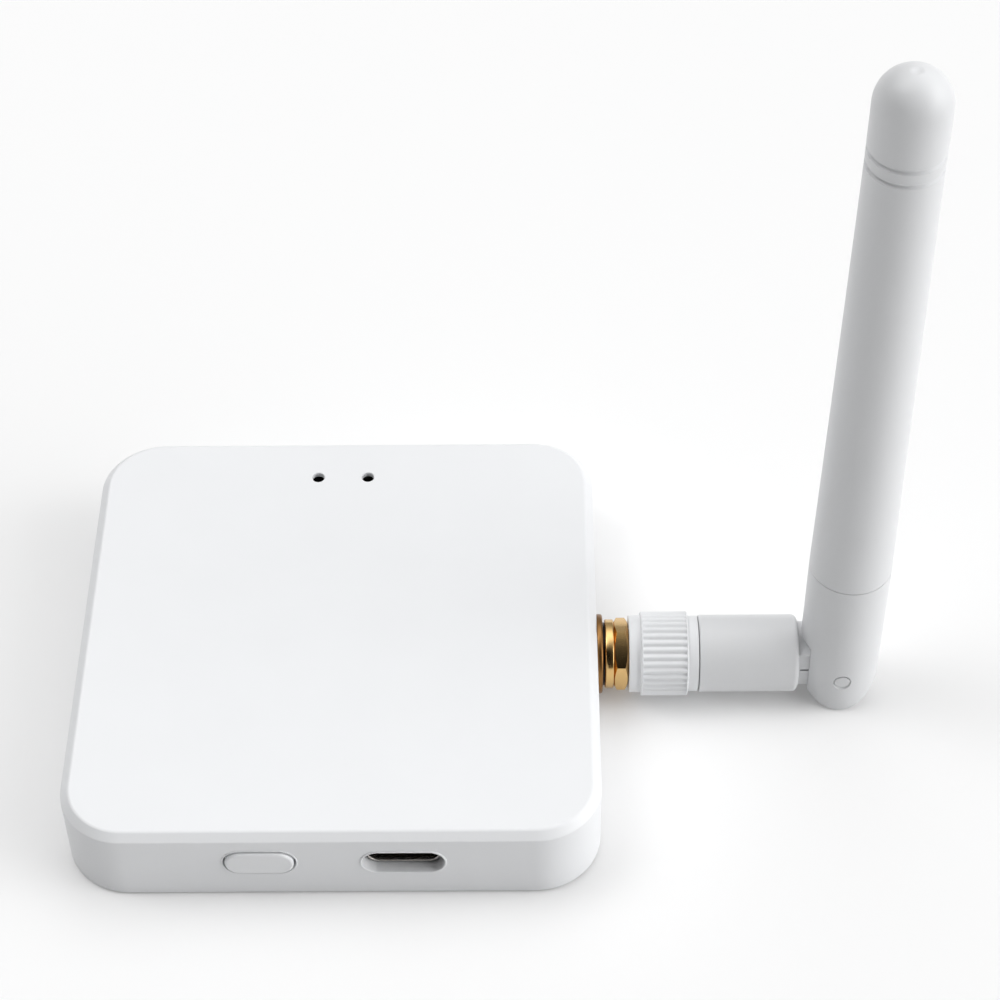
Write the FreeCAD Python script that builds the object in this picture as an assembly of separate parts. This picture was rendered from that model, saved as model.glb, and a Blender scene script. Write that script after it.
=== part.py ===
import FreeCAD
import Part
import math
import os

from FreeCAD import Vector

# A small square bluetooth gateway that lies on a table. A moulded white case holds one circuit
# board. A threaded radio jack leaves its right wall, and a folding stub antenna is screwed on it.
# Millimetres. X runs to the right along the front wall, Y from front to back, Z up from the table.
# The origin is the centre of the case's underside, on the table.

# Case shell
case_width = 65.0
case_depth = 65.0
case_height = 11.2
case_corner = 8.0
case_wall = 1.8
case_top = 1.5
top_chamfer = 1.0
rim_gap = 0.3

# Base plate, which the case rests on
base_thickness = 1.3
base_clearance = 0.15
base_rib_width = 1.0
base_rib_height = 1.2

# Snaps: wedges on the base plate's rib that catch in pockets in the shell's walls
snap_length = 5.0
snap_spacing = 36.0
snap_reach = 0.6
snap_land = 0.3
snap_height = 1.0
snap_clearance = 0.1

# Four square posts clamp the circuit board against posts under the shell's ceiling
post_inset = 6.5
post_width = 5.0
peg_width = 1.8
peg_clearance = 0.1

# Circuit board
board_thickness = 1.2
board_clearance = 0.6
board_notch_clearance = 0.9
board_corner_cut = 4.0

# USB-C port in the front wall. Heights are above the shell's lower rim.
port_x = 8.75
port_height = 6.165
port_slot_width = 9.82
port_slot_height = 3.88
port_lip = 0.25
port_setback = 1.2
port_shell_width = 8.94
port_shell_height = 3.16
port_shell_depth = 7.35
port_shell_wall = 0.3
port_tongue_width = 6.69
port_tongue_thickness = 0.7
port_tongue_setback = 0.9
port_block_depth = 1.6
port_contact_count = 12
port_contact_pitch = 0.5
port_contact_width = 0.25
port_contact_thickness = 0.05
port_contact_length = 4.0
port_contact_setback = 0.4

# Push button in the front wall, with the side-acting switch behind it
button_x = -8.4
button_height = 6.255
button_slot_width = 8.76
button_slot_height = 4.37
button_gap = 0.25
button_proud = 0.4
button_edge = 0.35
button_travel = 0.3
button_flange_margin = 0.6
button_flange_thickness = 0.8
button_notch_clearance = 0.4
plunger_width = 2.6
plunger_height = 1.5
plunger_free_length = 0.9
plunger_depth = 0.9
plunger_clearance = 0.08
plunger_floor_clearance = 0.3
switch_width = 6.0
switch_height = 3.0
switch_depth = 3.6

# Two pinholes in the top, each over a status light
light_centre_x = -0.53
light_spacing = 6.56
light_from_back = 6.85
light_hole_radius = 0.8
light_web = 0.7
light_well_clearance = 0.2
light_guard_width = 4.0
light_guard_bore_width = 2.6
light_width = 1.6
light_depth = 0.8
light_height = 0.7

# Radio modules, their aerials' edge this far from the case's back
wifi_module = {"x": -15.0, "from_back": 9.5, "width": 16.0, "depth": 22.0}
bluetooth_module = {"x": 11.0, "from_back": 9.0, "width": 12.0, "depth": 14.0}
module_board_thickness = 0.8
module_aerial_strip = 5.0
module_shield_margin = 0.6
module_shield_height = 1.9

# Power parts behind the port: centres, footprints and heights
power_chip = {"x": 8.5, "y": -15.0, "width": 5.0, "depth": 5.0, "height": 0.9}
power_inductor = {"x": 0.0, "y": -15.5, "width": 5.0, "depth": 5.0, "height": 2.2}
inductor_corner = 1.2
capacitor_body = {"width": 1.25, "depth": 2.0, "height": 0.9}
capacitor_row_x = 5.6
capacitor_row_y = -8.5
capacitor_pitch = 3.0
capacitor_count = 4

# Radio jack: a threaded 1/4-36 bulkhead connector clamped through the right wall
jack_height = 5.3
thread_radius = 3.175
jack_mating_length = 4.5
jack_recess = 1.9
jack_bore_radius = 2.3
jack_flange_flats = 8.0
jack_flange_thickness = 2.0
jack_hole_clearance = 0.1
jack_flange_face_angle = 30.0
contact_radius = 0.635
contact_bore_radius = 0.47
contact_bore_depth = 2.6
flat_washer_radius = 5.05
flat_washer_thickness = 0.75
lock_washer_radius = 4.0
lock_washer_thickness = 0.3
lock_washer_split = 0.5
spacer_ring_radius = 4.4
spacer_ring_thickness = 1.1
washer_clearance = 0.05
hex_nut_flats = 8.2
hex_nut_thickness = 1.85
hex_nut_face_angle = 56.5
hex_nut_face_margin = 0.15
hex_nut_chamfer_depth = 0.45

# Pigtail inside the case, from the jack to a snap-on plug on the board
coax_radius = 0.57
coax_plug_x = 10.5
coax_plug_radius = 1.3
coax_plug_height = 1.1
coax_socket_width = 2.6
coax_socket_height = 0.6

# Antenna plug, screwed on the jack by its coupling nut
running_clearance = 0.05
mating_gap = 0.05
nut_gap = 0.06
plug_nose_radius = 2.25
plug_nose_wall = 0.25
plug_shaft_radius = 2.5
plug_shoulder_gap = 0.2
plug_tail_length = 5.7
plug_pin_radius = 0.45
plug_pin_reach = 1.9
plug_tail_radius = 3.2
plug_tail_inset = 3.1
plug_flange_radius = 3.05
plug_flange_length = 1.2
coupling_radius = 3.9
coupling_setback = 0.2
coupling_end_gap = 0.1

# White knurled cover pressed on the coupling nut
cover_collar_radius = 4.9
cover_back_collar_radius = 4.8
cover_collar_length = 1.48
cover_back_collar_length = 1.31
cover_knurl_radius = 5.35
cover_knurl_length = 6.0
knurl_count = 36
knurl_land = 0.5
knurl_groove_depth = 0.22

# Swivel sleeve and its hinge tongue
sleeve_gap = 0.1
sleeve_radius = 4.9
sleeve_length = 12.51
sleeve_back_edge = 0.75
sleeve_back_edge_length = 0.5
sleeve_cavity_end_gap = 0.3
tongue_half_width = 2.9
tongue_half_height = 2.87
tongue_slit = 0.35
tongue_slit_start = 0.3
cable_slot_half_width = 0.9
cable_slot_length = 2.6
cable_clearance = 0.33

# Hinge and the forked whip base
pivot_reach = 5.46
pin_radius = 0.95
pin_flush = 0.12
fork_side_clearance = 0.1
fork_stop_clearance = 0.08
fork_entry_height = 4.4
fork_entry_run = 1.45
whip_radius = 5.05
heel_radius = 5.32
whip_base_height = 17.05
spigot_radius = 3.4
spigot_length = 6.0

# Whip tube, measured up from the pivot, and its two grooves, down from its tip
tube_middle_height = 45.75
tube_middle_radius = 4.67
tube_top_radius = 4.29
tube_height = 92.9
groove_drops = (11.9, 10.0)
groove_width = 0.7
groove_depth = 0.25

# Sleeve dipole inside the whip
wire_tip_drop = 11.65
radiator_length = 23.5
radiator_radius = 1.2
wire_radius = 0.4
wire_length = 25.0
whip_coax_start = 0.6

# Places that follow from the sizes above
rim_z = rim_gap
top_z = rim_z + case_height
ceiling_z = top_z - case_top
face_x = case_width / 2
front_y = -case_depth / 2
inner_x = face_x - case_wall
inner_front_y = front_y + case_wall
post_x = face_x - post_inset
post_y = case_depth / 2 - post_inset
light_y = case_depth / 2 - light_from_back
port_z = rim_z + port_height
port_front_y = front_y + port_setback
board_top_z = port_z - port_shell_height / 2
board_bottom_z = board_top_z - board_thickness
button_z = rim_z + button_height
axis_z = rim_z + jack_height
hex_nut_x = face_x + flat_washer_thickness + lock_washer_thickness + spacer_ring_thickness
hex_nut_end_x = hex_nut_x + hex_nut_thickness
jack_end_x = hex_nut_end_x + jack_mating_length
mating_x = jack_end_x - jack_recess
flange_x = inner_x - jack_flange_thickness
cover_x = hex_nut_end_x + nut_gap
knurl_x = cover_x + cover_collar_length
knurl_end_x = knurl_x + cover_knurl_length
cover_end_x = knurl_end_x + cover_back_collar_length
plug_nose_x = mating_x + mating_gap
plug_shoulder_x = jack_end_x + plug_shoulder_gap
plug_flange_end_x = plug_shoulder_x + plug_flange_length
sleeve_x = cover_end_x + sleeve_gap
sleeve_end_x = sleeve_x + sleeve_length
plug_tail_x = sleeve_x + plug_tail_inset
plug_end_x = sleeve_x + plug_tail_length
pivot_x = sleeve_end_x + pivot_reach
seam_z = axis_z + whip_base_height
feed_z = axis_z + tube_height - wire_tip_drop - wire_length
fork_reach = tongue_half_height + fork_stop_clearance
cable_radius = coax_radius + cable_clearance
snap_z = base_thickness + snap_clearance


def block(x0, x1, y0, y1, z0, z1):
    """Rectangular block between two corners."""
    return Part.makeBox(x1 - x0, y1 - y0, z1 - z0, Vector(x0, y0, z0))


def rod_x(radius, x0, x1, y=0.0, z=0.0):
    return Part.makeCylinder(radius, x1 - x0, Vector(x0, y, z), Vector(1, 0, 0))


def rod_y(radius, y0, y1, x=0.0, z=0.0):
    return Part.makeCylinder(radius, y1 - y0, Vector(x, y0, z), Vector(0, 1, 0))


def rod_z(radius, z0, z1, x=0.0, y=0.0):
    return Part.makeCylinder(radius, z1 - z0, Vector(x, y, z0), Vector(0, 0, 1))


def upright_edges(shape):
    """The straight edges that run along Z."""
    found = []
    for edge in shape.Edges:
        start, end = edge.firstVertex().Point, edge.lastVertex().Point
        if abs(start.x - end.x) < 1e-6 and abs(start.y - end.y) < 1e-6:
            found.append(edge)
    return found


def edges_at_z(shape, z):
    """The edges that lie wholly in one level plane."""
    return [edge for edge in shape.Edges
            if abs(edge.BoundBox.ZMin - z) < 1e-5 and abs(edge.BoundBox.ZMax - z) < 1e-5]


def edges_at_y(shape, y):
    return [edge for edge in shape.Edges
            if abs(edge.BoundBox.YMin - y) < 1e-5 and abs(edge.BoundBox.YMax - y) < 1e-5]


def rounded_slab(width, depth, corner, z0, z1, x=0.0, y=0.0):
    """Upright slab with rounded corners, centred on x and y."""
    slab = block(x - width / 2, x + width / 2, y - depth / 2, y + depth / 2, z0, z1)
    return slab.makeFillet(corner, upright_edges(slab))


def slot_bar(width, height, x, z, y0, y1):
    """Bar along Y whose section is a slot with round ends."""
    radius = height / 2
    left, right = x - width / 2 + radius, x + width / 2 - radius
    upper_left, upper_right = Vector(left, y0, z + radius), Vector(right, y0, z + radius)
    lower_left, lower_right = Vector(left, y0, z - radius), Vector(right, y0, z - radius)
    outline = Part.Wire([
        Part.makeLine(upper_left, upper_right),
        Part.Arc(upper_right, Vector(right + radius, y0, z), lower_right).toShape(),
        Part.makeLine(lower_right, lower_left),
        Part.Arc(lower_left, Vector(left - radius, y0, z), upper_left).toShape(),
    ])
    return Part.Face(outline).extrude(Vector(0, y1 - y0, 0))


def turned_x(profile):
    """Solid turned about the radio connector's axis from a closed list of (x, radius)."""
    points = [Vector(x, 0, axis_z + radius) for x, radius in profile]
    outline = Part.makePolygon(points + points[:1])
    return Part.Face(outline).revolve(Vector(0, 0, axis_z), Vector(1, 0, 0), 360)


def tube_x(outer, inner, x0, x1):
    return turned_x([(x0, inner), (x0, outer), (x1, outer), (x1, inner)])


def hex_bar_x(flats, x0, x1, face_angle):
    """Hexagonal bar on the connector's axis, one flat turned face_angle up from the front."""
    corner = flats / math.sqrt(3)
    points = []
    for side in range(6):
        angle = math.radians(face_angle + 30 + 60 * side)
        points.append(Vector(x0, -corner * math.cos(angle), axis_z + corner * math.sin(angle)))
    outline = Part.makePolygon(points + points[:1])
    return Part.Face(outline).extrude(Vector(x1 - x0, 0, 0))


def post_places():
    return [(x, y) for x in (-post_x, post_x) for y in (-post_y, post_y)]


def square_post(width, x, y, z0, z1):
    return block(x - width / 2, x + width / 2, y - width / 2, y + width / 2, z0, z1)


def snap_ring(section, length):
    """Two bars of one (offset, z) section on each of the case's four walls. Offsets count
    outwards from the wall's inner face."""
    bars = []
    for side in range(4):
        wall = (case_width if side % 2 else case_depth) / 2 - case_wall
        for middle in (-snap_spacing / 2, snap_spacing / 2):
            points = [Vector(middle - length / 2, -wall - offset, z) for offset, z in section]
            bar = Part.Face(Part.makePolygon(points + points[:1])).extrude(Vector(length, 0, 0))
            bar.rotate(Vector(0, 0, 0), Vector(0, 0, 1), 90 * side)
            bars.append(bar)
    return bars


def light_places():
    return [light_centre_x - light_spacing / 2, light_centre_x + light_spacing / 2]


def placed_block(part, z0, height):
    """Block on a component's footprint."""
    return block(part["x"] - part["width"] / 2, part["x"] + part["width"] / 2,
                 part["y"] - part["depth"] / 2, part["y"] + part["depth"] / 2, z0, z0 + height)


def upper_shell():
    """Top and four walls in one moulding, with posts, snap pockets and every opening."""
    shell = rounded_slab(case_width, case_depth, case_corner, rim_z, top_z)
    shell = shell.makeChamfer(top_chamfer, edges_at_z(shell, top_z))
    shell = shell.cut(rounded_slab(case_width - 2 * case_wall, case_depth - 2 * case_wall,
                                   case_corner - case_wall, rim_z - 1, ceiling_z))
    shell = shell.fuse(shell_posts())
    pocket_depth = snap_reach - base_clearance + snap_clearance
    pocket = [(-1, snap_z), (pocket_depth, snap_z),
              (pocket_depth, snap_z + snap_height + snap_clearance),
              (-1, snap_z + snap_height + snap_clearance)]
    shell = shell.cut(snap_ring(pocket, snap_length + 2 * snap_clearance))
    shell = cut_button_slot(shell)
    shell = cut_port_slot(shell)
    shell = shell.cut(rod_x(thread_radius + jack_hole_clearance, inner_x - 1, face_x + 1, 0, axis_z))
    shell = shell.cut(light_block(light_guard_width + 2 * light_well_clearance,
                                  ceiling_z - 1, top_z - light_web))
    for x in light_places():
        shell = shell.cut(rod_z(light_hole_radius, ceiling_z - 1, top_z + 1, x, light_y))
    return shell.removeSplitter()


def shell_posts():
    """Posts under the ceiling that press on the board."""
    return [square_post(post_width, x, y, board_top_z, ceiling_z + case_top / 2)
            for x, y in post_places()]


def cut_button_slot(shell):
    slot = slot_bar(button_slot_width, button_slot_height, button_x, button_z,
                    front_y - 1, inner_front_y + 1)
    return shell.cut(slot)


def cut_port_slot(shell):
    """Cut-out round the port, its outer edge eased."""
    slot = slot_bar(port_slot_width, port_slot_height, port_x, port_z,
                    front_y - 1, inner_front_y + 1)
    shell = shell.cut(slot)
    lip = [edge for edge in edges_at_y(shell, front_y)
           if abs(edge.BoundBox.Center.x - port_x) <= port_slot_width / 2
           and edge.BoundBox.ZLength <= port_slot_height + 1e-3
           and abs(edge.BoundBox.Center.z - port_z) <= port_slot_height / 2 + 1e-3
           and edge.BoundBox.XLength <= port_slot_width]
    return shell.makeChamfer(port_lip, lip)


def base_plate():
    """Flat cover snapped into the shell's lower rim, with a stiffening rib and four posts."""
    width = case_width - 2 * case_wall - 2 * base_clearance
    depth = case_depth - 2 * case_wall - 2 * base_clearance
    corner = case_corner - case_wall - base_clearance
    rib_top = base_thickness + base_rib_height
    plate = rounded_slab(width, depth, corner, 0, rib_top)
    plate = plate.cut(rounded_slab(width - 2 * base_rib_width, depth - 2 * base_rib_width,
                                   corner - base_rib_width, base_thickness, rib_top + 1))
    root = -base_clearance - base_rib_width / 2
    tip = snap_reach - base_clearance
    wedge = [(root, snap_z), (tip, snap_z), (tip, snap_z + snap_land),
             (-base_clearance, snap_z + snap_height), (root, snap_z + snap_height)]
    plate = plate.fuse(snap_ring(wedge, snap_length))
    half_gap = jack_flange_flats / math.sqrt(3) + board_notch_clearance
    plate = plate.cut(block(0, face_x, -half_gap, half_gap, base_thickness, rib_top + 1))
    for x, y in post_places():
        plate = plate.fuse(square_post(post_width, x, y, base_thickness / 2, board_bottom_z))
        plate = plate.fuse(square_post(peg_width, x, y, base_thickness / 2, board_top_z))
    return plate.removeSplitter()


def circuit_board():
    """Board with holes for the posts' pegs, and notches for the jack and the button."""
    half_width = inner_x - board_clearance
    half_depth = case_depth / 2 - case_wall - board_clearance
    board = block(-half_width, half_width, -half_depth, half_depth, board_bottom_z, board_top_z)
    board = board.makeChamfer(board_corner_cut, upright_edges(board))
    for x, y in post_places():
        board = board.cut(square_post(peg_width + 2 * peg_clearance, x, y,
                                      board_bottom_z - 1, board_top_z + 1))
    half_notch = jack_flange_flats / math.sqrt(3) + board_notch_clearance
    notch = block(flange_x - board_notch_clearance, face_x, -half_notch, half_notch,
                  board_bottom_z - 1, board_top_z + 1)
    board = board.cut(notch)
    flange_half = button_slot_width / 2 + button_flange_margin + button_notch_clearance
    button_notch = block(button_x - flange_half, button_x + flange_half, front_y,
                         button_flange_y() + button_travel + button_notch_clearance,
                         board_bottom_z - 1, board_top_z + 1)
    return board.cut(button_notch)


def button_flange_y():
    """Back of the button's flange at rest."""
    return inner_front_y + button_flange_thickness


def button_cap():
    """Rounded key that stands a little proud, with a flange behind the wall."""
    key = slot_bar(button_slot_width - 2 * button_gap, button_slot_height - 2 * button_gap,
                   button_x, button_z, front_y - button_proud, button_flange_y())
    key = key.makeChamfer(button_edge, edges_at_y(key, front_y - button_proud))
    half_width = button_slot_width / 2 + button_flange_margin
    half_height = button_slot_height / 2 + button_flange_margin
    flange = block(button_x - half_width, button_x + half_width, inner_front_y, button_flange_y(),
                   button_z - half_height, button_z + half_height)
    return key.fuse(flange).removeSplitter()


def switch_front_y():
    return button_flange_y() + plunger_free_length


def switch_plunger():
    """Plunger of the side-acting switch, which the button's flange bears on."""
    return block(button_x - plunger_width / 2, button_x + plunger_width / 2,
                 button_flange_y(), switch_front_y() + plunger_depth,
                 button_z - plunger_height / 2, button_z + plunger_height / 2)


def switch_body():
    front = switch_front_y()
    body = block(button_x - switch_width / 2, button_x + switch_width / 2,
                 front, front + switch_depth, board_top_z, board_top_z + switch_height)
    half_width = plunger_width / 2 + plunger_clearance
    half_height = plunger_height / 2 + plunger_clearance
    pocket_depth = plunger_depth + button_travel + plunger_floor_clearance
    pocket = block(button_x - half_width, button_x + half_width,
                   front - 1, front + pocket_depth,
                   button_z - half_height, button_z + half_height)
    return body.cut(pocket)


def port_shell():
    """Folded steel mouth of the port, open at the front."""
    back_y = port_front_y + port_shell_depth
    outside = slot_bar(port_shell_width, port_shell_height, port_x, port_z, port_front_y, back_y)
    inside = slot_bar(port_shell_width - 2 * port_shell_wall,
                      port_shell_height - 2 * port_shell_wall,
                      port_x, port_z, port_front_y - 1, back_y + 1)
    return outside.cut(inside)


def port_tongue_y():
    return port_front_y + port_tongue_setback


def port_insulator():
    """Black moulding that closes the mouth's back and carries the tongue."""
    back_y = port_front_y + port_shell_depth
    plug = slot_bar(port_shell_width - 2 * port_shell_wall,
                    port_shell_height - 2 * port_shell_wall,
                    port_x, port_z, back_y - port_block_depth, back_y)
    tongue = block(port_x - port_tongue_width / 2, port_x + port_tongue_width / 2,
                   port_tongue_y(), back_y - port_block_depth / 2,
                   port_z - port_tongue_thickness / 2, port_z + port_tongue_thickness / 2)
    return plug.fuse(tongue).removeSplitter()


def port_contacts():
    """Two rows of thin contacts, one on each face of the tongue."""
    contacts = []
    start_y = port_tongue_y() + port_contact_setback
    first_x = port_x - port_contact_pitch * (port_contact_count - 1) / 2
    upper_z = port_z + port_tongue_thickness / 2
    lower_z = port_z - port_tongue_thickness / 2 - port_contact_thickness
    for row_z in (upper_z, lower_z):
        for index in range(port_contact_count):
            x = first_x + index * port_contact_pitch
            contacts.append(block(x - port_contact_width / 2, x + port_contact_width / 2,
                                  start_y, start_y + port_contact_length,
                                  row_z, row_z + port_contact_thickness))
    return Part.makeCompound(contacts)


def module_place(module):
    """The module's footprint, its centre set from the case's back."""
    return dict(module, y=case_depth / 2 - module["from_back"] - module["depth"] / 2)


def module_board(module):
    return placed_block(module_place(module), board_top_z, module_board_thickness)


def module_shield(module):
    """Shield can that leaves the module's printed aerial uncovered at the back."""
    board = module_place(module)
    can = dict(board, width=board["width"] - 2 * module_shield_margin,
               depth=board["depth"] - module_aerial_strip - 2 * module_shield_margin,
               y=board["y"] - module_aerial_strip / 2)
    return placed_block(can, board_top_z + module_board_thickness, module_shield_height)


def inductor():
    """Square moulded coil with cut corners."""
    coil = placed_block(power_inductor, board_top_z, power_inductor["height"])
    return coil.makeChamfer(inductor_corner, upright_edges(coil))


def capacitors():
    row = []
    for index in range(capacitor_count):
        place = dict(capacitor_body, x=capacitor_row_x + index * capacitor_pitch, y=capacitor_row_y)
        row.append(placed_block(place, board_top_z, capacitor_body["height"]))
    return Part.makeCompound(row)


def status_lights():
    lights = []
    for x in light_places():
        body = block(x - light_width / 2, x + light_width / 2,
                     light_y - light_depth / 2, light_y + light_depth / 2,
                     board_top_z, board_top_z + light_height)
        lights.append(body)
    return Part.makeCompound(lights)


def light_block(width, z0, z1):
    """Upright block round both pinholes."""
    left, right = light_places()
    return block(left - width / 2, right + width / 2, light_y - width / 2, light_y + width / 2,
                 z0, z1)


def light_guard():
    """Black block with a channel over each light, so that each shines through its own pinhole."""
    guard = light_block(light_guard_width, board_top_z, top_z - light_web)
    for x in light_places():
        guard = guard.cut(square_post(light_guard_bore_width, x, light_y, board_top_z - 1, top_z))
    return guard


def antenna_jack():
    """Threaded jack body with a hexagonal flange inside the wall and an open front bore."""
    body = turned_x([
        (flange_x, contact_radius + running_clearance),
        (flange_x, thread_radius),
        (jack_end_x, thread_radius),
        (jack_end_x, jack_bore_radius),
        (inner_x, jack_bore_radius),
        (inner_x, contact_radius + running_clearance),
    ])
    flange = hex_bar_x(jack_flange_flats, flange_x, inner_x, jack_flange_face_angle)
    flange = flange.cut(rod_x(thread_radius / 2, flange_x - 1, inner_x + 1, 0, axis_z))
    return body.fuse(flange).removeSplitter()


def jack_insulator():
    return tube_x(jack_bore_radius, contact_radius, inner_x, mating_x)


def jack_contact():
    """Socket contact that takes the plug's pin."""
    contact = rod_x(contact_radius, flange_x, mating_x, 0, axis_z)
    return contact.cut(rod_x(contact_bore_radius, mating_x - contact_bore_depth, mating_x + 1,
                             0, axis_z))


def washer_bore():
    return thread_radius + washer_clearance


def flat_washer():
    return tube_x(flat_washer_radius, washer_bore(), face_x, face_x + flat_washer_thickness)


def lock_washer():
    """Thin split ring."""
    x0 = face_x + flat_washer_thickness
    x1 = x0 + lock_washer_thickness
    ring = tube_x(lock_washer_radius, washer_bore(), x0, x1)
    return ring.cut(block(x0 - 1, x1 + 1, 0, 2 * lock_washer_radius,
                          axis_z - lock_washer_split / 2, axis_z + lock_washer_split / 2))


def spacer_ring():
    x0 = face_x + flat_washer_thickness + lock_washer_thickness
    return tube_x(spacer_ring_radius, washer_bore(), x0, x0 + spacer_ring_thickness)


def hex_nut():
    """Hexagonal nut, its outer face chamfered as turned from bar."""
    x0, x1 = hex_nut_x, hex_nut_end_x
    corner = hex_nut_flats / math.sqrt(3)
    bar = hex_bar_x(hex_nut_flats, x0, x1, hex_nut_face_angle)
    turned = turned_x([
        (x0, thread_radius),
        (x0, corner + 1),
        (x1 - hex_nut_chamfer_depth, corner + 1),
        (x1 - hex_nut_chamfer_depth, corner),
        (x1, hex_nut_flats / 2 - hex_nut_face_margin),
        (x1, thread_radius),
    ])
    return bar.common(turned)


def pigtail_coax():
    """Short thin coax, straight from the jack to the board plug."""
    return rod_x(coax_radius, coax_plug_x + coax_plug_radius, flange_x, 0, axis_z)


def coax_board_socket():
    return square_post(coax_socket_width, coax_plug_x, 0,
                       board_top_z, board_top_z + coax_socket_height)


def coax_board_plug():
    """Cap that snaps on the board socket, with a square boot where the coax enters."""
    base_z = board_top_z + coax_socket_height
    plug = rod_z(coax_plug_radius, base_z, base_z + coax_plug_height, coax_plug_x)
    boot = block(coax_plug_x, coax_plug_x + coax_plug_radius, -coax_radius, coax_radius,
                 base_z, axis_z + coax_radius)
    return plug.fuse(boot).removeSplitter()


def plug_body():
    """Turned body of the antenna's plug: a flange that the coupling nut pulls on, and a wider
    tail that holds the sleeve."""
    nose_bore = plug_nose_radius - plug_nose_wall
    return turned_x([
        (plug_nose_x, nose_bore),
        (plug_nose_x, plug_nose_radius),
        (plug_shoulder_x, plug_nose_radius),
        (plug_shoulder_x, plug_flange_radius),
        (plug_flange_end_x, plug_flange_radius),
        (plug_flange_end_x, plug_shaft_radius),
        (plug_tail_x, plug_shaft_radius),
        (plug_tail_x, plug_tail_radius),
        (plug_end_x, plug_tail_radius),
        (plug_end_x, nose_bore),
    ])


def plug_insulator():
    return tube_x(plug_nose_radius - plug_nose_wall, plug_pin_radius, plug_nose_x, plug_end_x)


def plug_pin():
    return rod_x(plug_pin_radius, mating_x - plug_pin_reach, plug_end_x, 0, axis_z)


def plug_coax():
    """Coax from the plug to the hinge, where it leaves the tongue's slot."""
    return rod_x(coax_radius, plug_end_x, pivot_x - cable_slot_length, 0, axis_z)


def coupling_end_x():
    return cover_end_x - coupling_end_gap


def coupling_nut():
    """Brass nut: threaded mouth, room for the plug's flange and a close bore behind it."""
    mouth_x = cover_x + coupling_setback
    thread_bore = thread_radius + running_clearance
    seat_x = plug_flange_end_x + running_clearance
    back_bore = plug_shaft_radius + running_clearance
    return turned_x([
        (mouth_x, thread_bore),
        (mouth_x, coupling_radius),
        (coupling_end_x(), coupling_radius),
        (coupling_end_x(), back_bore),
        (seat_x, back_bore),
        (seat_x, thread_bore),
    ])


def nut_cover():
    """Knurled moulding pressed on the nut, a plain collar at each end."""
    collars = turned_x([
        (cover_x, coupling_radius),
        (cover_x, cover_collar_radius),
        (knurl_x, cover_collar_radius),
        (knurl_end_x, cover_back_collar_radius),
        (cover_end_x, cover_back_collar_radius),
        (cover_end_x, coupling_radius),
    ])
    return collars.fuse(knurled_band()).removeSplitter()


def knurled_band():
    """Ring of straight ridges with flat lands and narrow grooves between them."""
    groove_floor_radius = cover_knurl_radius - knurl_groove_depth
    pitch = 2 * math.pi / knurl_count
    land = knurl_land / cover_knurl_radius
    points = []
    for index in range(knurl_count):
        middle = index * pitch
        for angle, radius in ((middle - land / 2, cover_knurl_radius),
                              (middle + land / 2, cover_knurl_radius),
                              (middle + pitch / 2, groove_floor_radius)):
            points.append(Vector(knurl_x, radius * math.cos(angle),
                                 axis_z + radius * math.sin(angle)))
    outline = Part.makePolygon(points + points[:1])
    band = Part.Face(outline).extrude(Vector(cover_knurl_length, 0, 0))
    return band.cut(rod_x(coupling_radius, knurl_x - 1, knurl_end_x + 1, 0, axis_z))


def swivel_sleeve():
    """Barrel that turns on the plug body and ends in the slit hinge tongue."""
    cavity_end_x = plug_end_x + sleeve_cavity_end_gap
    step_x = plug_tail_x - running_clearance
    barrel = turned_x([
        (sleeve_x, plug_shaft_radius + running_clearance),
        (sleeve_x, sleeve_radius),
        (sleeve_end_x - sleeve_back_edge_length, sleeve_radius),
        (sleeve_end_x, sleeve_radius - sleeve_back_edge),
        (sleeve_end_x, 0),
        (cavity_end_x, 0),
        (cavity_end_x, plug_tail_radius + running_clearance),
        (step_x, plug_tail_radius + running_clearance),
        (step_x, plug_shaft_radius + running_clearance),
    ])
    sleeve = barrel.fuse(hinge_tongue(sleeve_end_x - sleeve_back_edge)).removeSplitter()
    cable_way = block(cavity_end_x - 1, pivot_x, -cable_slot_half_width, cable_slot_half_width,
                      axis_z - cable_radius, axis_z + cable_radius)
    slit = block(sleeve_end_x + tongue_slit_start, pivot_x, -whip_radius, whip_radius,
                 axis_z - tongue_slit / 2, axis_z + tongue_slit / 2)
    cable_slot = block(pivot_x - cable_slot_length, pivot_x + whip_radius,
                       -cable_slot_half_width, cable_slot_half_width,
                       axis_z - cable_radius, axis_z + whip_radius)
    pin_hole = rod_y(pin_radius + running_clearance, -whip_radius, whip_radius, pivot_x, axis_z)
    return sleeve.cut([cable_way, slit, cable_slot, pin_hole])


def hinge_tongue(start_x):
    """Flat tongue with a round end about the pivot."""
    flat = block(start_x, pivot_x, -tongue_half_width, tongue_half_width,
                 axis_z - tongue_half_height, axis_z + tongue_half_height)
    end = rod_y(tongue_half_height, -tongue_half_width, tongue_half_width, pivot_x, axis_z)
    return flat.fuse(end)


def whip_base():
    """Forked foot of the whip. Its slot opens to the left and below, so the whip stops upright
    and, folded down, in line with the plug."""
    column = rod_z(whip_radius, axis_z - heel_radius, seam_z, pivot_x)
    heel = rod_y(heel_radius, -whip_radius, whip_radius, pivot_x, axis_z)
    upper = block(pivot_x - whip_radius, pivot_x + whip_radius, -whip_radius, whip_radius,
                  axis_z, seam_z)
    base = column.common(heel.fuse(upper).removeSplitter())
    base = base.fuse(rod_z(spigot_radius, seam_z - 1, seam_z + spigot_length, pivot_x))
    base = base.cut(fork_slot())
    base = base.cut(square_post(2 * cable_radius, pivot_x, 0, axis_z, seam_z + spigot_length + 1))
    pin_hole = rod_y(pin_radius, -2 * whip_radius, 2 * whip_radius, pivot_x, axis_z)
    return base.cut(pin_hole).removeSplitter()


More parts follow.
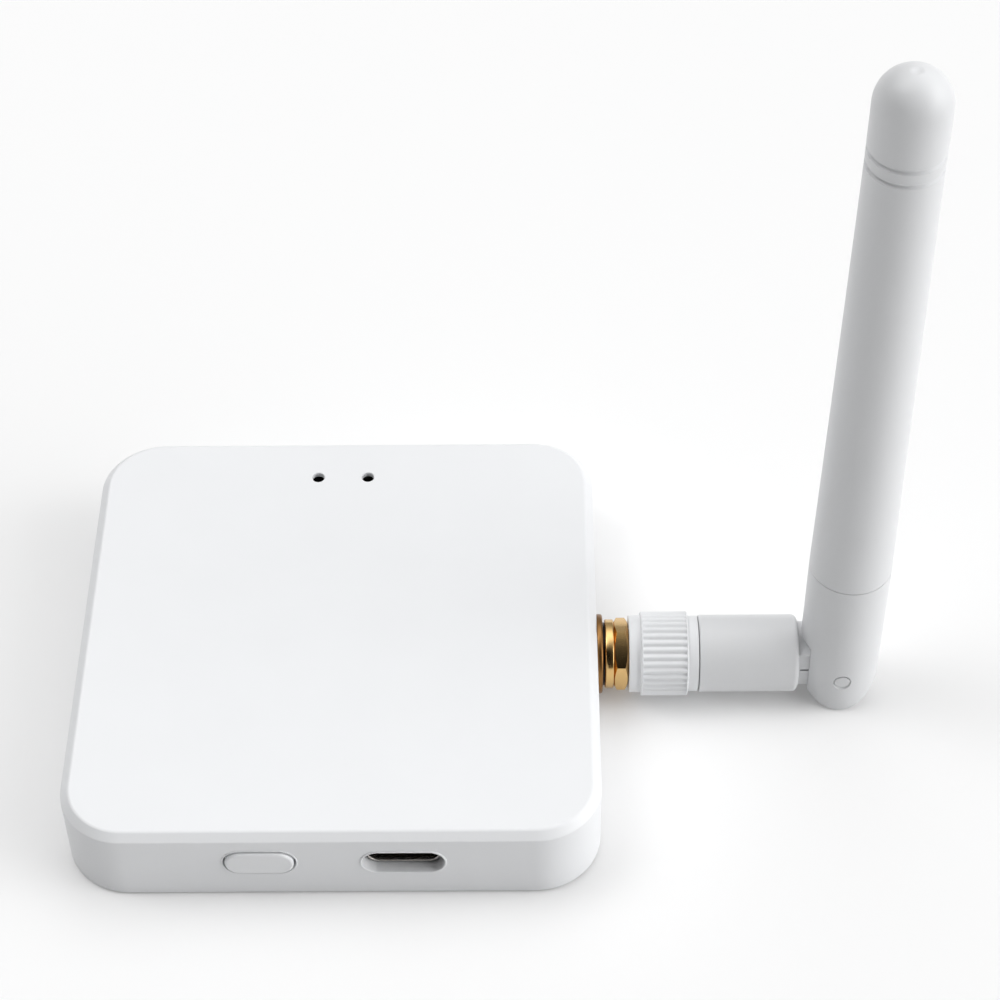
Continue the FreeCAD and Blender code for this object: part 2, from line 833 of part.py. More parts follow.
def fork_slot():
    """Way for the tongue: a quarter round about the pivot between two stops, its mouth widened
    upwards by a slope."""
    half = tongue_half_width + fork_side_clearance
    floor_z = axis_z - 2 * whip_radius
    left_x = pivot_x - 2 * whip_radius
    level_way = block(left_x, pivot_x, -half, half, floor_z, axis_z + fork_reach)
    lower_way = block(left_x, pivot_x + fork_reach, -half, half, floor_z, axis_z)
    slope_x = pivot_x - fork_reach
    mouth = Part.makePolygon([
        Vector(left_x, -half, axis_z),
        Vector(slope_x, -half, axis_z),
        Vector(slope_x, -half, axis_z + fork_reach),
        Vector(slope_x - fork_entry_run, -half, axis_z + fork_entry_height),
        Vector(left_x, -half, axis_z + fork_entry_height),
        Vector(left_x, -half, axis_z),
    ])
    mouth_way = Part.Face(mouth).extrude(Vector(0, 2 * half, 0))
    return level_way.fuse([lower_way, rod_y(fork_reach, -half, half, pivot_x, axis_z), mouth_way])


def hinge_pin():
    """Plain pin through both cheeks and the tongue, its ends just below the surface."""
    end_y = whip_radius - pin_flush
    return rod_y(pin_radius, -end_y, end_y, pivot_x, axis_z)


def at_height(radius, height):
    """Point of the whip's profile, by its radius and its height above the pivot."""
    return Vector(pivot_x + radius, 0, axis_z + height)


def whip_tube():
    """Closed tube, tapering up to two turned grooves and ending in a round dome."""
    half_groove = groove_width / 2
    taper_end = tube_height - groove_drops[0] - half_groove
    dome_height = tube_height - tube_top_radius
    dome_half = tube_top_radius * math.sin(math.pi / 4)
    side = Part.Arc(at_height(whip_radius, whip_base_height),
                    at_height(tube_middle_radius, tube_middle_height),
                    at_height(tube_top_radius, taper_end)).toShape()
    grooves = []
    for drop in groove_drops:
        height = tube_height - drop
        grooves += [at_height(tube_top_radius, height - half_groove),
                    at_height(tube_top_radius - groove_depth, height),
                    at_height(tube_top_radius, height + half_groove)]
    grooves.append(at_height(tube_top_radius, dome_height))
    dome = Part.Arc(at_height(tube_top_radius, dome_height),
                    at_height(dome_half, dome_height + dome_half),
                    at_height(0, tube_height)).toShape()
    inside = [at_height(0, tube_height), at_height(0, dome_height),
              at_height(spigot_radius, dome_height), at_height(spigot_radius, whip_base_height),
              at_height(whip_radius, whip_base_height)]
    edges = [side, dome] + Part.makePolygon(grooves).Edges + Part.makePolygon(inside).Edges
    outline = Part.Wire(Part.sortEdges(edges)[0])
    return Part.Face(outline).revolve(Vector(pivot_x, 0, 0), Vector(0, 0, 1), 360)


def whip_coax():
    """Coax from the hinge up to the feed point."""
    return rod_z(coax_radius, axis_z + fork_reach + whip_coax_start, feed_z, pivot_x)


def radiator_sleeve():
    """Brass tube over the coax, up to the feed point: the lower half of the dipole."""
    start_z = feed_z - radiator_length
    tube = rod_z(radiator_radius, start_z, feed_z, pivot_x)
    return tube.cut(rod_z(coax_radius, start_z - 1, feed_z + 1, pivot_x))


def radiator_wire():
    """Bare centre wire above the feed point: the upper half of the dipole."""
    return rod_z(wire_radius, feed_z, feed_z + wire_length, pivot_x)


def export(name, shape):
    """Writes one node."""
    shape.exportStep(os.path.join("parts", name + ".step"))


os.makedirs("parts", exist_ok=True)

export("upper_shell", upper_shell())
export("base_plate", base_plate())
export("circuit_board", circuit_board())
export("wifi_module_board", module_board(wifi_module))
export("wifi_module_shield", module_shield(wifi_module))
export("bluetooth_module_board", module_board(bluetooth_module))
export("bluetooth_module_shield", module_shield(bluetooth_module))
export("power_chip", placed_block(power_chip, board_top_z, power_chip["height"]))
export("power_inductor", inductor())
export("capacitors", capacitors())
export("status_lights", status_lights())
export("light_guard", light_guard())
export("switch_body", switch_body())
export("switch_plunger", switch_plunger())
export("button_cap", button_cap())
export("port_shell", port_shell())
export("port_insulator", port_insulator())
export("port_contacts", port_contacts())
export("coax_board_socket", coax_board_socket())
export("coax_board_plug", coax_board_plug())
export("pigtail_coax", pigtail_coax())
export("antenna_jack", antenna_jack())
export("jack_insulator", jack_insulator())
export("jack_contact", jack_contact())
export("flat_washer", flat_washer())
export("lock_washer", lock_washer())
export("spacer_ring", spacer_ring())
export("hex_nut", hex_nut())
export("plug_body", plug_body())
export("plug_insulator", plug_insulator())
export("plug_pin", plug_pin())
export("plug_coax", plug_coax())
export("coupling_nut", coupling_nut())
export("nut_cover", nut_cover())
export("swivel_sleeve", swivel_sleeve())
export("whip_base", whip_base())
export("hinge_pin", hinge_pin())
export("whip_tube", whip_tube())
export("whip_coax", whip_coax())
export("radiator_sleeve", radiator_sleeve())
export("radiator_wire", radiator_wire())
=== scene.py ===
import math

import bmesh
import bpy
from mathutils import Matrix, Vector


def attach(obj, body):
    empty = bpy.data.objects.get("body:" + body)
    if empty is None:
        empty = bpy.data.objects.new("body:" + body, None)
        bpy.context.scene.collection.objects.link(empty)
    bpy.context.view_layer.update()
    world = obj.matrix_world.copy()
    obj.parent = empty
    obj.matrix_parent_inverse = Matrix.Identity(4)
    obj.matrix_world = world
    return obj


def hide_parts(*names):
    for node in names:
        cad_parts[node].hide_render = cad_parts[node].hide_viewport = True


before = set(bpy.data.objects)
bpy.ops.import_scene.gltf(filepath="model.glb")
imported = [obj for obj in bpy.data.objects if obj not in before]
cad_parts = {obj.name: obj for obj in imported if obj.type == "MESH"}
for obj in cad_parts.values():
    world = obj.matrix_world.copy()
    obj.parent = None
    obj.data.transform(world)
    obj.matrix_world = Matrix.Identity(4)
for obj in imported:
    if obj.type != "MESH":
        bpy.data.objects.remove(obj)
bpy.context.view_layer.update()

# The circuit board is glass fibre under green solder mask, with its copper tracks showing through
# the mask as lighter lines. Posts of the two case mouldings clamp it at its four corners.
mm = 0.001


class Value:
    """One socket of a tree of nodes, on which plain arithmetic adds Math nodes."""

    def __init__(self, tree, socket):
        self.tree = tree
        self.socket = socket

    def math(self, operation, first, second):
        node = self.tree.nodes.new("ShaderNodeMath")
        node.operation = operation
        for port, term in zip(node.inputs, (first, second)):
            if isinstance(term, Value):
                self.tree.links.new(term.socket, port)
            else:
                port.default_value = term
        return Value(self.tree, node.outputs[0])

    def __add__(self, other):
        return self.math("ADD", self, other)

    def __radd__(self, other):
        return self.math("ADD", other, self)

    def __sub__(self, other):
        return self.math("SUBTRACT", self, other)

    def __rsub__(self, other):
        return self.math("SUBTRACT", other, self)

    def __mul__(self, other):
        return self.math("MULTIPLY", self, other)

    def __rmul__(self, other):
        return self.math("MULTIPLY", other, self)


class Recipe:
    """An empty tree of nodes, and the one method that adds to it."""

    def __init__(self, tree):
        self.tree = tree
        self.tree.nodes.clear()

    def node(self, kind, settings, sockets, out=0):
        """Any node: its settings first, then the values or links of its sockets."""
        made = self.tree.nodes.new(kind)
        for key, setting in settings.items():
            setattr(made, key, setting)
        for port, term in sockets.items():
            if isinstance(term, Value):
                self.tree.links.new(term.socket, made.inputs[port])
            else:
                made.inputs[port].default_value = term
        return Value(self.tree, made.outputs[out]) if len(made.outputs) else None


class Finish(Recipe):
    """A named finish, mixed from nodes round one Principled shader."""

    def __init__(self, name, **constants):
        self.material = bpy.data.materials.new(name)
        self.material.use_nodes = True
        super().__init__(self.material.node_tree)
        self.shader = self.tree.nodes.new("ShaderNodeBsdfPrincipled")
        self.output = self.tree.nodes.new("ShaderNodeOutputMaterial")
        self.tree.links.new(self.shader.outputs[0], self.output.inputs["Surface"])
        for port, number in constants.items():
            self.shader.inputs[port.replace("_", " ")].default_value = number
        self.place = self.node("ShaderNodeTexCoord", {}, {}, out="Object")

    def noise(self, size, detail=2.0, stretch=(1, 1, 1)):
        """Cloudy pattern whose marks are about size metres across, narrower where stretched."""
        scaled = self.node("ShaderNodeMapping", {}, {"Vector": self.place, "Scale": stretch})
        return self.node("ShaderNodeTexNoise", {},
                         {"Vector": scaled, "Scale": 1 / size, "Detail": detail})

    def blend(self, factor, first, second):
        return self.node("ShaderNodeMix", {"data_type": "RGBA"},
                         {0: factor, 6: first, 7: second}, out=2)

    def set(self, port, value):
        self.tree.links.new(value.socket, self.shader.inputs[port])

    def bump(self, height, depth):
        """Relief of a pattern of 0 to 1, depth metres from its lowest to its highest."""
        relief = self.node("ShaderNodeBump", {},
                           {"Height": height, "Distance": depth, "Strength": 1.0})
        self.set("Normal", relief)


def dress(node, finish):
    """Gives a carried-over part of the frame its finish."""
    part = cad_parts[node]
    part.data.materials.clear()
    part.data.materials.append(finish.material)


def solder_mask(name, color, track_color):
    """Glass fibre board: mask over tracks that run square to each other."""
    mask = Finish(name, Roughness=0.38)
    tracks = mask.node("ShaderNodeTexBrick", {"offset": 0.37, "squash": 0.6, "squash_frequency": 3},
                       {"Vector": mask.place, "Scale": 260.0, "Mortar Size": 0.028,
                        "Color1": (0, 0, 0, 1), "Color2": (0, 0, 0, 1), "Mortar": (1, 1, 1, 1)})
    weave = mask.noise(0.4 * mm, stretch=(1, 3, 1))
    mask.set("Base Color", mask.blend(tracks, color, track_color))
    mask.set("Roughness", 0.32 + weave * 0.12)
    mask.bump(tracks * 0.7 + weave * 0.3, 0.03 * mm)
    return mask


dress("circuit_board", solder_mask("green_board", (0.012, 0.09, 0.035, 1), (0.03, 0.17, 0.07, 1)))

# The two radio modules are small blue boards soldered on it, each with a printed aerial left bare
# at the back and a tin-plated steel can pressed over its chips.
module_mask = solder_mask("blue_board", (0.008, 0.022, 0.09, 1), (0.5, 0.33, 0.1, 1))


def tin_plate(name, color, roughness):
    """Rolled sheet: faint grain along the sheet and soft blotches of tin."""
    tin = Finish(name, Metallic=1.0)
    grain = tin.noise(0.12 * mm, stretch=(0.06, 1, 1))
    cloud = tin.noise(4 * mm, detail=3.0)
    dark = tuple(0.8 * level for level in color[:3]) + (1,)
    tin.set("Base Color", tin.blend(cloud, color, dark))
    tin.set("Roughness", roughness + grain * 0.12)
    tin.bump(grain, 0.004 * mm)
    return tin


shield_tin = tin_plate("shield_tin", (0.62, 0.62, 0.6, 1), 0.28)
for module in ("wifi_module", "bluetooth_module"):
    dress(module + "_board", module_mask)
    dress(module + "_shield", shield_tin)


# Power parts, the light guard and the switch are black mouldings, satin from their moulds. The
# capacitors are tan ceramic with tinned ends, and the lights are clear resin over a white cup.
def moulded(name, color, roughness):
    """Moulded plastic: an even colour that drifts by a percent or two, and a spark-eroded grain."""
    plastic = Finish(name)
    drift = plastic.noise(9 * mm, detail=3.0)
    grain = plastic.noise(0.25 * mm, detail=3.0)
    shade = tuple(0.97 * level for level in color[:3]) + (1,)
    plastic.set("Base Color", plastic.blend(drift, color, shade))
    plastic.set("Roughness", roughness - 0.04 + drift * 0.04 + grain * 0.05)
    plastic.bump(grain, 0.004 * mm)
    return plastic


black_moulding = moulded("black_moulding", (0.012, 0.012, 0.013, 1), 0.45)
for node in ("power_chip", "power_inductor", "light_guard", "switch_body", "port_insulator"):
    dress(node, black_moulding)
dress("capacitors", moulded("tan_ceramic", (0.28, 0.17, 0.09, 1), 0.35))
dress("status_lights", moulded("light_resin", (0.85, 0.83, 0.7, 1), 0.15))
dress("switch_plunger", moulded("plunger_resin", (0.75, 0.73, 0.68, 1), 0.4))


# The radio lead from the jack to the board is a thin coax in a grey jacket. Its snap-on plug, the
# board socket, the port's contacts and the jack's contact are gold plate over bronze.
def plated(name, color, roughness, along=(1, 0.04, 0.04)):
    """Bright plating over turned metal: fine lines round the axis, and a slightly uneven gloss."""
    metal = Finish(name, Metallic=1.0)
    turning = metal.noise(0.05 * mm, stretch=along)
    cloud = metal.noise(1.8 * mm, detail=3.0)
    worn = tuple(0.9 * level for level in color[:3]) + (1,)
    metal.set("Base Color", metal.blend(cloud, color, worn))
    metal.set("Roughness", roughness + cloud * 0.05 + turning * 0.05)
    metal.bump(turning, 0.0007 * mm)
    return metal


gold = plated("gold_plate", (0.76, 0.5, 0.21, 1), 0.13)
for node in ("coax_board_socket", "coax_board_plug", "port_contacts", "jack_contact", "plug_body",
             "plug_pin", "coupling_nut"):
    dress(node, gold)
coax_jacket = moulded("coax_jacket", (0.045, 0.045, 0.05, 1), 0.4)
for node in ("pigtail_coax", "plug_coax", "whip_coax"):
    dress(node, coax_jacket)
insulator = moulded("waxy_insulator", (0.82, 0.81, 0.77, 1), 0.5)
for node in ("jack_insulator", "plug_insulator"):
    dress(node, insulator)

# The base plate is a white moulding that snaps into the lower rim of the case. The plate is all
# that touches the table.
white = (0.86, 0.87, 0.885, 1)
case_white = moulded("case_white", white, 0.42)
dress("base_plate", case_white)


# The USB-C port's mouth is folded stainless sheet, drawn to a slot with round ends, its front edge
# rolled smooth. The board carries it, 1.2 mm behind the wall's face.
def select(piece, kind, test):
    """In edit mode, selects only the verts, edges or faces that pass a test on their corners."""
    bpy.ops.mesh.select_mode(type=kind)
    bpy.ops.mesh.select_all(action="DESELECT")
    form = bmesh.from_edit_mesh(piece.data)
    parts = {"VERT": form.verts, "EDGE": form.edges, "FACE": form.faces}[kind]
    for part in parts:
        corners = [part.co] if kind == "VERT" else [vert.co for vert in part.verts]
        if test(corners):
            part.select_set(True)
    form.select_flush_mode()
    bmesh.update_edit_mesh(piece.data)


def at(axis, level):
    """A test: every corner lies at one level of an axis."""
    return lambda corners: all(abs(corner[axis] - level) < 2e-6 for corner in corners)


def named(name):
    """The primitive just added, under its name, with its place in its mesh, in edit mode."""
    piece = bpy.context.active_object
    piece.name = name
    piece.data.name = name
    bpy.ops.object.transform_apply(location=True, rotation=True, scale=True)
    bpy.ops.object.mode_set(mode="EDIT")
    bpy.ops.mesh.select_mode(type="VERT")
    return piece


def slot_bar(name, width, height, x, z, y0, y1):
    """Bar along Y with a slot's outline: a disc parted down its middle, then extruded."""
    bpy.ops.object.select_all(action="DESELECT")
    bpy.ops.mesh.primitive_circle_add(vertices=62, radius=height / 2, fill_type="NGON",
                                      location=(x, y0, z), rotation=(math.pi / 2, 0, 0))
    bar = named(name)
    for side in (-1, 1):
        select(bar, "VERT", lambda corners: side * (corners[0].x - x) > 1e-6
               and abs(corners[0].x - x) < height / 2 + 1e-6)
        bpy.ops.transform.translate(value=(side * (width - height) / 2, 0, 0))
    select(bar, "FACE", at(1, y0))
    bpy.ops.mesh.extrude_region_move(TRANSFORM_OT_translate={"value": (0, y1 - y0, 0)})
    outward(bar)
    return bar


def outward(piece):
    """Merges doubled points, turns all faces outwards and leaves edit mode."""
    bpy.ops.mesh.select_all(action="SELECT")
    bpy.ops.mesh.remove_doubles(threshold=5e-7)
    bpy.ops.mesh.normals_make_consistent(inside=False)
    bpy.ops.object.mode_set(mode="OBJECT")


def pick(piece):
    """Selects one piece alone."""
    bpy.ops.object.select_all(action="DESELECT")
    bpy.context.view_layer.objects.active = piece
    piece.select_set(True)


def edit(piece):
    pick(piece)
    bpy.ops.object.mode_set(mode="EDIT")


def modify(piece, kind, **settings):
    """Gives a piece a modifier and applies it."""
    pick(piece)
    change = piece.modifiers.new(kind, kind)
    for setting, value in settings.items():
        setattr(change, setting, value)
    bpy.ops.object.modifier_apply(modifier=change.name)


def carve(piece, *tools, operation="DIFFERENCE"):
    """Cuts tools out of a piece, or joins them to it, and removes them."""
    for tool in tools:
        modify(piece, "BOOLEAN", operation=operation, solver="EXACT", object=tool)
        bpy.data.objects.remove(tool)


def bevel(piece, test, width, segments):
    """Rounds the edges that pass a test, or chamfers them with one segment."""
    edit(piece)
    select(piece, "EDGE", test)
    bpy.ops.mesh.bevel(offset=width, segments=segments, affect="EDGES")
    bpy.ops.object.mode_set(mode="OBJECT")


def fit(piece, finish, body, slot, *nodes, angle=40):
    """Shades a finished piece, and puts it in place of its part of the frame."""
    edit(piece)
    outward(piece)
    bpy.ops.object.shade_smooth_by_angle(angle=math.radians(angle))
    modify(piece, "WEIGHTED_NORMAL", keep_sharp=True, weight=80)
    piece.data.materials.clear()
    piece.data.materials.append(finish.material)
    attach(piece, body)
    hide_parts(*nodes)


port_x, port_z = 8.75 * mm, 6.465 * mm
mouth_front, mouth_back = -31.3 * mm, -23.95 * mm
mouth_width, mouth_height, mouth_wall, mouth_roll = 8.94 * mm, 3.16 * mm, 0.3 * mm, 0.1 * mm
mouth = slot_bar("port_mouth", mouth_width, mouth_height, port_x, port_z, mouth_front, mouth_back)
carve(mouth, slot_bar("mouth_bore", mouth_width - 2 * mouth_wall, mouth_height - 2 * mouth_wall,
                      port_x, port_z, mouth_front - 1 * mm, mouth_back + 1 * mm))
bevel(mouth, at(1, mouth_front), mouth_roll, 3)
port_steel = tin_plate("port_steel", (0.58, 0.55, 0.52, 1), 0.22)
fit(mouth, port_steel, "case", "bright_steel", "port_shell")

# The case's top and walls are one white ABS moulding, 65 mm square, with a chamfer all round the
# top. The slots of the port and the button, the jack's hole and two pinholes go through it.
case_low, case_high = Vector((-32.5, -32.5, 0.3)) * mm, Vector((32.5, 32.5, 11.5)) * mm
case_corner, case_wall, case_ceiling = 8.0 * mm, 1.8 * mm, 10.0 * mm
chamfer, top_ease, wall_ease, rim_ease = 1.0 * mm, 0.24 * mm, 0.12 * mm, 0.2 * mm
front = case_low.y


def block(name, low, high):
    """Block between two corners."""
    low, high = Vector(low), Vector(high)
    bpy.ops.object.select_all(action="DESELECT")
    bpy.ops.mesh.primitive_cube_add(size=1, location=(low + high) / 2, scale=high - low)
    piece = named(name)
    bpy.ops.object.mode_set(mode="OBJECT")
    return piece


def upright(corners):
    """Whether an edge runs up one of the block's corners."""
    return abs(corners[0].z - corners[1].z) > 1 * mm


case = block("case_moulding", case_low, case_high)
bevel(case, upright, case_corner, 22)
bevel(case, at(2, case_high.z), chamfer, 1)
bevel(case, at(2, case_high.z), top_ease, 5)
bevel(case, at(2, case_high.z - chamfer), wall_ease, 3)
bevel(case, at(2, case_low.z), rim_ease, 3)
edit(case)
select(case, "FACE", at(2, case_low.z))
bpy.ops.mesh.inset(thickness=case_wall - rim_ease)
inside = case_high.x - case_wall + 1e-5
select(case, "FACE", lambda corners: at(2, case_low.z)(corners)
       and all(abs(corner.x) < inside and abs(corner.y) < inside for corner in corners))
bpy.ops.mesh.extrude_region_move(
    TRANSFORM_OT_translate={"value": (0, 0, case_ceiling - case_low.z)})
outward(case)

# Inside the case, four posts press on the board, two pockets in each wall catch the base plate's
# snaps, and a well round the pinholes takes the light guard.
post_place, post_half = 26.0 * mm, 2.5 * mm
board_top = 5.02 * mm
for x in (-post_place, post_place):
    for y in (-post_place, post_place):
        post = block("post", (x - post_half, y - post_half, board_top),
                     (x + post_half, y + post_half, case_ceiling + 0.5 * mm))
        carve(case, post, operation="UNION")
snap_place, snap_half = 18.0 * mm, 2.6 * mm
pocket_from, pocket_to, pocket_low, pocket_high = 29.7 * mm, 31.25 * mm, 1.4 * mm, 2.5 * mm
for side in (-1, 1):
    for middle in (-snap_place, snap_place):
        near, far = sorted((side * pocket_from, side * pocket_to))
        carve(case, block("pocket", (near, middle - snap_half, pocket_low),
                          (far, middle + snap_half, pocket_high)),
              block("pocket", (middle - snap_half, near, pocket_low),
                    (middle + snap_half, far, pocket_high)))
light_xs, light_y = (-3.81 * mm, 2.75 * mm), 25.65 * mm
well_half, well_roof = 2.2 * mm, 10.8 * mm
carve(case, block("light_well", (light_xs[0] - well_half, light_y - well_half, 9 * mm),
                  (light_xs[1] + well_half, light_y + well_half, well_roof)))


# A fine round bead stands round the port's slot, and a finer one round the button's. The
# pinholes' edges are only eased.
def open_slot(x, z, width, height, bead, proud):
    """Slot through the front wall, with a bead round its mouth."""
    carve(case, slot_bar("pad", width + 2 * bead, height + 2 * bead, x, z, front - proud,
                         front + 0.9 * mm), operation="UNION")
    carve(case, slot_bar("slot", width, height, x, z, front - 1 * mm, front + 3 * mm))
    bevel(case, at(1, front - proud), 0.96 * proud, 4)


button_x, button_z = -8.4 * mm, 6.555 * mm
open_slot(button_x, button_z, width=8.76 * mm, height=4.37 * mm, bead=0.2 * mm, proud=0.1 * mm)
open_slot(port_x, port_z, width=9.82 * mm, height=3.88 * mm, bead=0.28 * mm, proud=0.14 * mm)


def drill(name, radius, start, end, count=48):
    """Bar between two points: round, or with as many sides as count says."""
    start, end = Vector(start), Vector(end)
    bpy.ops.object.select_all(action="DESELECT")
    bpy.ops.mesh.primitive_cylinder_add(
        vertices=count, radius=radius, depth=(end - start).length, location=(start + end) / 2,
        rotation=(end - start).to_track_quat("Z", "Y").to_euler())
    bar = named(name)
    bpy.ops.object.mode_set(mode="OBJECT")
    return bar


def rim_of(x):
    """A test: an edge lies on the upper rim of the pinhole at x."""
    return lambda corners: at(2, case_high.z)(corners) and all(
        abs(math.hypot(corner.x - x, corner.y - light_y) - pinhole) < 1e-5 for corner in corners)


jack_z, jack_hole, pinhole, pinhole_ease = 5.6 * mm, 3.275 * mm, 0.8 * mm, 0.12 * mm
carve(case, drill("jack_hole", jack_hole, (29 * mm, 0, jack_z), (34 * mm, 0, jack_z), 72),
      *(drill("pinhole", pinhole, (x, light_y, 8 * mm), (x, light_y, 13 * mm)) for x in light_xs))
for x in light_xs:
    bevel(case, rim_of(x), pinhole_ease, 3)
fit(case, case_white, "case", "case_white", "upper_shell")

# The button is a white key that stands 0.4 mm proud of its slot, its front edge well rounded. A
# flange behind the wall keeps it in, and the switch's plunger pushes it out.
key_front, flange_front, flange_back = -32.9 * mm, -30.7 * mm, -29.9 * mm
key_width, key_height, key_round = 8.26 * mm, 3.87 * mm, 0.36 * mm
flange_x, flange_z = 4.98 * mm, 2.785 * mm
key = slot_bar("button_key", key_width, key_height, button_x, button_z, key_front, flange_back)
bevel(key, at(1, key_front), key_round, 6)
carve(key, block("button_flange", (button_x - flange_x, flange_front, button_z - flange_z),
                 (button_x + flange_x, flange_back, button_z + flange_z)), operation="UNION")
fit(key, moulded("button_white", white, 0.38), "button", "button_white", "button_cap")


# The radio jack is turned brass, gold plated, with a 1/4-36 thread outside and a smooth bore. Its
# hexagonal flange lies inside the wall, and nuts outside draw it tight.
def drawn(name, places):
    """Open outline, drawn point by point."""
    bpy.ops.object.select_all(action="DESELECT")
    bpy.ops.mesh.primitive_plane_add(size=1 * mm, location=places[0])
    piece = named(name)
    bpy.ops.mesh.merge(type="CENTER")
    for here, there in zip(places, places[1:]):
        bpy.ops.mesh.extrude_region_move(TRANSFORM_OT_translate={"value": there - here})
    return piece


def ease_corners(piece, places, eases, segments):
    """Rounds corners of an outline, each given as (index, radius)."""
    for index, radius in eases:
        select(piece, "VERT", lambda corners: (corners[0] - places[index]).length < 1e-6)
        bpy.ops.mesh.bevel(offset=radius, segments=segments, affect="VERTICES")


def turned(name, profile, steps=96, eases=(), axis=(1, 0, 0), centre=(0, 0, jack_z)):
    """Piece turned about a line: its profile, as (along, radius), is drawn and spun full circle."""
    out = Vector((0, 0, 1)) if axis[0] else Vector((1, 0, 0))
    places = [Vector(centre) + Vector(axis) * along + out * radius for along, radius in profile]
    piece = drawn(name, places)
    if profile[0][1] > 0:
        ends = (places[0], places[-1])
        select(piece, "VERT", lambda corners: min((corners[0] - end).length for end in ends) < 1e-6)
        bpy.ops.mesh.edge_face_add()
    ease_corners(piece, places, eases, 4)
    bpy.ops.mesh.select_all(action="SELECT")
    bpy.ops.mesh.spin(steps=steps, angle=2 * math.pi, center=centre, axis=axis)
    outward(piece)
    return piece


def profiled(name, corners, half_width, eases=(), segments=16):
    """Piece of one outline, as (x, z), drawn, filled and extruded along Y."""
    places = [Vector((x, -half_width, z)) for x, z in corners]
    piece = drawn(name, places)
    bpy.ops.mesh.select_all(action="SELECT")
    bpy.ops.mesh.edge_face_add()
    ease_corners(piece, places, eases, segments)
    bpy.ops.mesh.select_all(action="SELECT")
    bpy.ops.mesh.extrude_region_move(TRANSFORM_OT_translate={"value": (0, 2 * half_width, 0)})
    outward(piece)
    return piece


thread_radius, thread_pitch, thread_root = 3.175 * mm, 25.4 / 36 * mm, 2.795 * mm
thread_rise = 0.36 * mm
jack_start, jack_end, wall_inside = 28.7 * mm, 41.0 * mm, 30.7 * mm
jack_flats, jack_bore, jack_back_bore = 8.0 * mm, 2.3 * mm, 0.685 * mm
places = [Vector((wall_inside - 2 * thread_pitch, 0, jack_z + thread_root))]
for step, rise in ((0.08, 0), (0.36, thread_rise), (0.12, 0), (0.44, -thread_rise)):
    places.append(places[-1] + Vector((step * thread_pitch, 0, rise)))
jack = drawn("jack_thread", places)
bpy.ops.object.mode_set(mode="OBJECT")
pole = bpy.data.objects.new("jack_axis", None)
bpy.context.collection.objects.link(pole)
pole.location = (0, 0, jack_z)
bpy.context.view_layer.update()
modify(jack, "SCREW", axis="X", steps=48, render_steps=48, screw_offset=thread_pitch,
       iterations=18, object=pole)
bpy.data.objects.remove(pole)
edit(jack)
bpy.ops.mesh.select_all(action="SELECT")
bpy.ops.mesh.remove_doubles(threshold=2e-6)
for level, clear_inner in ((wall_inside - 0.13 * mm, True), (jack_end + 0.13 * mm, False)):
    bpy.ops.mesh.select_all(action="SELECT")
    bpy.ops.mesh.bisect(plane_co=(level, 0, jack_z), plane_no=(1, 0, 0), use_fill=True,
                        clear_inner=clear_inner, clear_outer=not clear_inner, threshold=1e-7)
outward(jack)
carve(jack, turned("thread_end", [(jack_start, 0), (jack_start, thread_radius + 1 * mm),
                                  (jack_end - 1.2 * mm, thread_radius + 1 * mm),
                                  (jack_end - 0.4 * mm, thread_radius + 0.02 * mm),
                                  (jack_end, thread_radius - 0.45 * mm), (jack_end, 0)]),
      operation="INTERSECT")
carve(jack, drill("jack_flange", jack_flats / math.sqrt(3), (jack_start, 0, jack_z),
                  (wall_inside, 0, jack_z), 6), operation="UNION")
carve(jack, drill("jack_bore", jack_bore, (wall_inside, 0, jack_z),
                  (jack_end + 1 * mm, 0, jack_z), 72),
      drill("jack_back_bore", jack_back_bore, (jack_start - 1 * mm, 0, jack_z),
            (wall_inside + 1 * mm, 0, jack_z)))
fit(jack, gold, "case", "gold_plate", "antenna_jack", angle=25)


# Against the wall lies a bronze flat washer with rolled edges, then a thin blackened lock washer,
# split once, and a gold spacer ring. All three are slipped over the thread.
def slipped_on(name, start, end, radius, near_ease, far_ease, steps):
    """Ring over the thread, its two outer edges eased."""
    return turned(name, [(start, ring_bore), (start, radius), (end, radius), (end, ring_bore)],
                  eases=((1, near_ease), (2, far_ease)), steps=steps)


ring_bore, split_half = 3.225 * mm, 0.25 * mm
wall_x, washer_end, lock_end, ring_end = case_high.x, 33.25 * mm, 33.55 * mm, 34.65 * mm
washer = slipped_on("flat_washer_rolled", wall_x, washer_end, radius=5.05 * mm,
                    near_ease=0.16 * mm, far_ease=0.24 * mm, steps=128)
bronze = plated("bronze_plate", (0.3, 0.155, 0.055, 1), 0.28)
fit(washer, bronze, "case", "bronze_plate", "flat_washer")
lock = slipped_on("lock_washer_split", washer_end, lock_end, radius=4.0 * mm,
                  near_ease=0.05 * mm, far_ease=0.05 * mm, steps=96)
carve(lock, block("split", (washer_end - 1 * mm, 0, jack_z - split_half),
                  (lock_end + 1 * mm, 8 * mm, jack_z + split_half)))
blackened = plated("blackened_steel", (0.02, 0.02, 0.02, 1), 0.3)
fit(lock, blackened, "case", "dark_steel", "lock_washer")
ring = slipped_on("spacer_ring_turned", lock_end, ring_end, radius=4.4 * mm,
                  near_ease=0.16 * mm, far_ease=0.16 * mm, steps=128)
fit(ring, gold, "case", "gold_plate", "spacer_ring")


# The hexagonal nut is turned from 8.2 mm bar, both faces chamfered, so each flat ends in two arcs.
# Polishing before the gold plate leaves its flats slightly crowned and its edges round and bright.
def flat_share(corner):
    """How far a corner lies from the middle of its flat, 0, to the flat's edge, 1."""
    turn = (math.atan2(corner.y, corner.z - jack_z) + math.radians(30)) % math.radians(60)
    return math.tan(min(turn, math.radians(60) - turn)) / math.tan(math.radians(30))


def soften(piece, width, angle=32):
    """Eases every sharp edge by a small radius."""
    modify(piece, "BEVEL", width=width, segments=3, limit_method="ANGLE",
           angle_limit=math.radians(angle))


